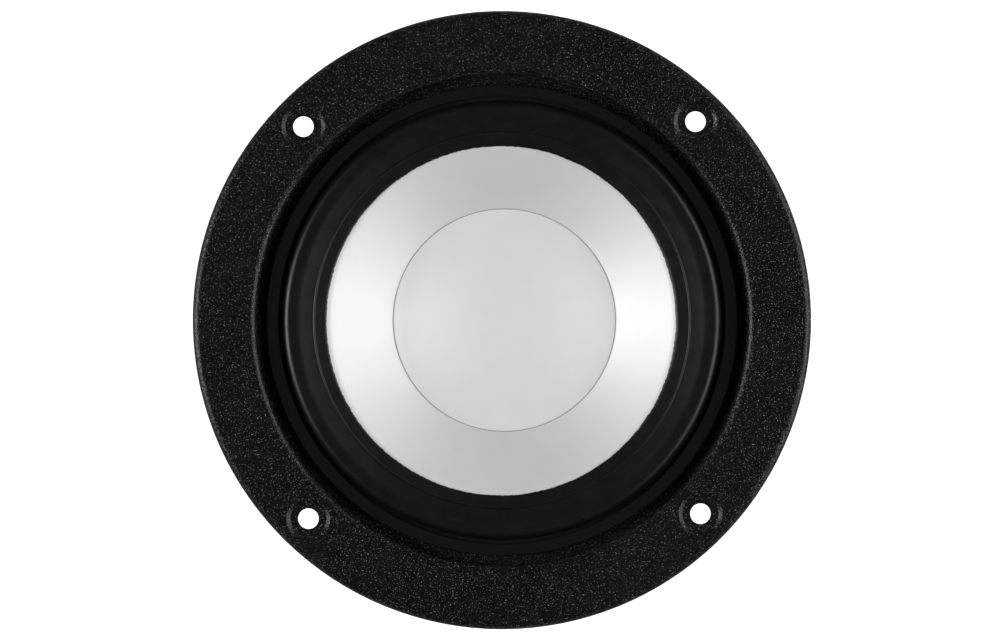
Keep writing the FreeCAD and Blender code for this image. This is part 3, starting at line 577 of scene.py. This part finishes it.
def make_cone():
    """Thin shell, silver in front and bare dark pulp behind, with a short neck over the coil's collar."""
    neck_out = cone_neck + CONE_THICKNESS
    side_drop = CONE_THICKNESS * math.hypot(1, side_slope)
    rim_drop = CONE_THICKNESS * math.hypot(1, RIM_SLOPE)
    side = evenly(cone_neck, rim_start, CONE_ROWS)
    outline = [(radius, cone_front(radius)) for radius in side]
    outline.append((cone_edge, cone_edge_top))
    silver_rows = len(outline) - 1
    outline.append((cone_edge, cone_edge_top - rim_drop))
    outline += [(radius, cone_front(radius) - side_drop) for radius in reversed(side) if radius > neck_out]
    outline.append((neck_out, cone_front(neck_out) - side_drop))
    outline.append((neck_out, foot_of("cone")))
    outline.append((cone_neck, foot_of("cone")))
    silver = silver_paint("cone_silver", (0.80, 0.80, 0.79), 0.62, 0.45)

    def slot_of(index):
        return 0 if index < silver_rows else 1

    piece = turned("cone_shell", outline, [silver, cone_back()], slot_of)
    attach(piece, MOVING)
    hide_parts("cone")


def off_centre(piece):
    """Shift a piece that sits on the cone a little aside, and tip it so that its rim stays on the cone."""
    tip = side_slope * CAP_ASIDE / outer_radius("dust_cap")
    for vertex in piece.data.vertices:
        vertex.co.z += vertex.co.x * tip
        vertex.co.x += CAP_ASIDE


def make_dust_cap():
    """Shallow dome whose rim stands on the cone."""
    rim = outer_radius("dust_cap")
    inner = rim - CAP_THICKNESS
    crown = top_of("dust_cap")

    def dome(edge, top):
        """Points of a dome, from the crown out to its edge on the cone."""
        rise = top - cone_front(edge) - GLUE_LINE
        sphere = (edge * edge + rise * rise) / (2 * rise)
        spread = math.asin(edge / sphere)
        turns = evenly(0, spread, CAP_ROWS)
        return [(sphere * math.sin(turn), top - sphere * (1 - math.cos(turn))) for turn in turns]

    outline = dome(rim, crown) + dome(inner, crown - CAP_THICKNESS)[::-1]
    silver = silver_paint("cap_silver", (0.84, 0.855, 0.85), 0.62, 0.3)
    piece = turned("dust_cap_dome", outline, [silver])
    off_centre(piece)
    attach(piece, MOVING)
    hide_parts("dust_cap")


def make_cap_seam():
    """Fine grey bead of adhesive in the crease between cap and cone, its grey also painting the crease's
    shade.
    """
    middle = outer_radius("dust_cap") + SEAM_OUT
    height = cone_front(middle) + SEAM_UP
    outline = bend((middle, height), SEAM_RADIUS, 0, 360, SEAM_SIDES)[:-1]
    # partly painted shade: the bead's mid grey is adhesive and also stands in for the shade in the crease
    piece = turned("cap_adhesive_and_painted_shade", outline, [plain("cap_glue_and_painted_shade", grey(0.36), 0.5)])
    off_centre(piece)
    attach(piece, MOVING)


def make_surround():
    """Rubber surround: inner lip, fine bead, a roll with a gentle and a steep side, and an outer lip."""
    inner, outer = inner_radius("surround"), outer_radius("surround")
    crest = top_of("surround")
    seat = foot_of("surround")
    side = outer - OUTER_LIP
    top_centre = (side - ROLL_TOP, crest - TOP_BEND)
    side_centre = (side - SIDE_BEND, crest - SIDE_BEND)
    foot = cone_edge + FOOT_OUT
    bead_outer = cone_edge - BEAD_IN + BEAD_HALF_WIDTH
    bead_inner = cone_edge - BEAD_IN - BEAD_HALF_WIDTH
    edge_top = inner + EDGE_SETBACK

    def lip_back(radius):
        return cone_front(radius) + GLUE_LINE

    def lip_front(radius):
        return lip_back(radius) + RUBBER

    outline = [(outer, seat), (outer, seat + RUBBER), (side + LIP_STEP, seat + RUBBER)]
    outline.append((side, seat + RUBBER + LIP_STEP))
    outline += bend(side_centre, SIDE_BEND, 0, 90, SIDE_STEPS)
    outline += bend(top_centre, TOP_BEND, 90, 90 + ROLL_SLOPE, TOP_STEPS)
    outline.append((foot, lip_front(foot)))
    bead_ends = [(radius, lip_front(radius)) for radius in (bead_outer, bead_inner)]
    outline += arc(*bead_ends, BEAD_RISE, BEAD_STEPS)
    outline += [(radius, lip_front(radius)) for radius in evenly(bead_inner, edge_top, LIP_ROWS)[1:]]
    edge_start = len(outline) - 1
    outline.append((inner + EDGE_BEVEL, lip_front(inner) - EDGE_DROP))
    outline.append((inner, lip_back(inner) + EDGE_WALL))
    outline.append((inner, lip_back(inner)))
    edge_end = len(outline)
    outline.append((cone_edge, lip_back(cone_edge)))
    outline += bend(top_centre, TOP_BEND - RUBBER, 90 + ROLL_SLOPE, 90, TOP_STEPS)
    outline += bend(side_centre, SIDE_BEND - RUBBER, 90, 0, INSIDE_STEPS)
    outline.append((side - RUBBER, seat))

    def ragged(index, angle):
        """The trimmed inner edge is cut a little off centre, wanders and has nicks."""
        if not edge_start <= index < edge_end:
            return (0, 0)
        around = Vector((math.cos(angle), math.sin(angle), 0))
        wander = sum(noise.noise(around * fineness) * depth for fineness, depth in TRIM_WAVES)
        wander += TRIM_ASIDE * math.cos(angle - TRIM_TOWARDS) - TRIM_IN
        return (wander, wander * RIM_SLOPE)

    piece = turned("surround_rubber", outline, [black_rubber()], wobble=ragged, steps=3 * CIRCLE_STEPS)
    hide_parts("surround")
    blend_from_rim_to_middle(piece)


def make_spider():
    """Woven, impregnated disc, pressed into rings, with a neck glued to the coil."""
    neck, rim = inner_radius("spider"), outer_radius("spider")
    flat = foot_near("spider", rim)
    neck_top = top_of("spider")
    thick = SPIDER_THICKNESS
    first = neck + FIRST_RING
    last = neck + LAST_RING

    def height(radius):
        if not first < radius < last:
            return flat
        return flat + RING_RISE * math.sin((radius - first) / (last - first) * SPIDER_RINGS * FULL_TURN)

    radii = evenly(neck + thick, rim, SPIDER_ROWS)
    outline = [(r, height(r) + thick) for r in radii]
    outline += [(r, height(r)) for r in reversed(radii)]
    outline += [(neck, flat), (neck, neck_top), (neck + thick, neck_top)]
    piece = turned("spider_cloth", outline, [spider_weave()])
    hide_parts("spider")
    blend_from_rim_to_middle(piece)


# ---------------------------------------------------------------- leads

LEAD_ROUTE = [(-50.6, 41.9), (-51.3, 47.1), (-49.0, 52.0), (-43.4, 54.2), (-36.0, 51.9), (-28.2, 48.3),
              (-20.55, 46.5)]
LEAD_ASIDE = 6.0  # millimetres, like the route
LEAD_RADIUS = 0.6 * MM
STRAND_RADIUS = 0.13 * MM
STRANDS = 4  # in each direction
BRAID_TURNS = 9
LEAD_STEPS = 160
CORE_RADIUS = LEAD_RADIUS - 1.6 * STRAND_RADIUS
CORE_SIDES = 10
STRAND_SIDES = 6
WEAVE_DEPTH = 0.35 * STRAND_RADIUS  # half the height by which a strand rises and falls


def lead_route(side):
    """Corners of a lead from its solder tab to its solder joint, the same as its solid's."""
    return [Vector((side * LEAD_ASIDE, y, z)) * MM for y, z in LEAD_ROUTE]


def smooth_line(points):
    """Points read along the NURBS spline that has these control points."""
    data = bpy.data.curves.new("route", "CURVE")
    data.dimensions = "3D"
    data.resolution_u = 16
    spline = data.splines.new("NURBS")
    spline.points.add(len(points) - 1)
    for point, place in zip(spline.points, points):
        point.co = (*place, 1)
    spline.order_u = 3
    spline.use_endpoint_u = True
    holder = bpy.data.objects.new("route", data)
    bpy.context.scene.collection.objects.link(holder)
    bpy.context.view_layer.update()
    mesh = bpy.data.meshes.new_from_object(holder)
    line = [v.co.copy() for v in mesh.vertices]
    bpy.data.objects.remove(holder)
    bpy.data.curves.remove(data)
    bpy.data.meshes.remove(mesh)
    return line


def resampled(line, count):
    """The same line with evenly spaced points."""
    lengths = [0.0]
    for a, b in zip(line, line[1:]):
        lengths.append(lengths[-1] + (b - a).length)
    points = []
    index = 0
    for i in range(count + 1):
        want = lengths[-1] * i / count
        while index < len(line) - 2 and lengths[index + 1] < want:
            index += 1
        share = (want - lengths[index]) / (lengths[index + 1] - lengths[index])
        points.append(line[index].lerp(line[index + 1], share))
    return points


def heading(centre_of, i, count):
    """Direction of a line of centres at one of its points."""
    return (centre_of(min(i + 1, count - 1)) - centre_of(max(i - 1, 0))).normalized()


def strand_tube(count, centre_of, radius, sides, verts, faces):
    """A thin tube along a line of centres, added to a mesh in the making."""
    rows = []
    for i in range(count):
        place = centre_of(i)
        ahead = heading(centre_of, i, count)
        side = ahead.cross(Vector((0, 0, 1))) if abs(ahead.z) < 0.9 else ahead.cross(Vector((1, 0, 0)))
        side.normalize()
        up = side.cross(ahead)
        rows.append(list(range(len(verts), len(verts) + sides)))
        for k in range(sides):
            turn = FULL_TURN * k / sides
            verts.append(place + side * (radius * math.cos(turn)) + up * (radius * math.sin(turn)))
    for here, there in zip(rows, rows[1:]):
        for k in range(sides):
            nxt = (k + 1) % sides
            faces.append([here[k], here[nxt], there[nxt], there[k]])
    faces.append(rows[0][::-1])
    faces.append(rows[-1])


def make_lead(node, name, side, material):
    """Braided lead: strands wound both ways round a core."""
    line = resampled(smooth_line(lead_route(side)), LEAD_STEPS)
    count = len(line)
    verts, faces = [], []

    def core(i):
        return line[i]

    def wound(direction, phase):
        """The centre line of a strand, which winds round the core and rises and falls over the others."""
        def centre_of(i):
            out = Vector((1, 0, 0))
            up = heading(core, i, count).cross(out).normalized()
            turn = direction * FULL_TURN * BRAID_TURNS * i / LEAD_STEPS + phase
            lift = LEAD_RADIUS - STRAND_RADIUS - WEAVE_DEPTH * (1 - math.cos(turn * STRANDS))
            return line[i] + out * (lift * math.cos(turn)) + up * (lift * math.sin(turn))
        return centre_of

    strand_tube(count, core, CORE_RADIUS, CORE_SIDES, verts, faces)
    for direction in (-1, 1):
        for k in range(STRANDS):
            strand = wound(direction, FULL_TURN * k / STRANDS)
            strand_tube(count, strand, STRAND_RADIUS, STRAND_SIDES, verts, faces)
    piece = finish_mesh(name, verts, faces, [material], smooth_angle=60)
    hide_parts(node)
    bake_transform(piece)


# ---------------------------------------------------------------- carried-over parts

def dress(node, material):
    """Give a carried-over CAD piece one material."""
    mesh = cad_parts[node].data
    mesh.materials.clear()
    mesh.materials.append(material)


def dress_parts():
    """Materials of the pieces that keep the CAD's own mesh."""
    zinc = plated_steel("zinc_plated_steel", (0.62, 0.61, 0.58))
    tin = plated_steel("tinned_brass", (0.78, 0.76, 0.70))
    steel = plated_steel("rivet_steel", grey(0.66))
    dress("basket", textured_paint())
    dress("clamp_ring", pressed_board())
    dress("rear_gasket", foam())
    dress("yoke", zinc)
    dress("top_plate", zinc)
    dress("magnet", ferrite())
    dress("vent_screen", plain("steel_mesh", grey(0.25), 0.4, metallic=1.0))
    dress("basket_screws", plated_steel("screw_zinc", (0.70, 0.66, 0.52)))
    dress("coil_former", plain("black_anodised_foil", grey(0.06), 0.35, metallic=0.8))
    dress("coil_winding", copper())
    dress("former_collar", plain("kraft_paper", (0.35, 0.22, 0.12), 0.85))
    dress("terminal_board", plain("phenolic_board", grey(0.03), 0.5))
    dress("terminal_positive", tin)
    dress("terminal_negative", tin)
    dress("board_rivets", steel)
    dress("terminal_rivets", steel)
    dress("coil_wires", copper())
    dress("solder_joints", plain("solder", (0.7, 0.7, 0.72), 0.3, metallic=1.0))


make_camera()
make_world()
make_lights()
make_floor()
dress_parts()
make_cone()
make_dust_cap()
make_cap_seam()
make_surround()
make_spider()
braided = braid()
make_lead("tinsel_lead_positive", "lead_positive", -1, braided)
make_lead("tinsel_lead_negative", "lead_negative", 1, braided)
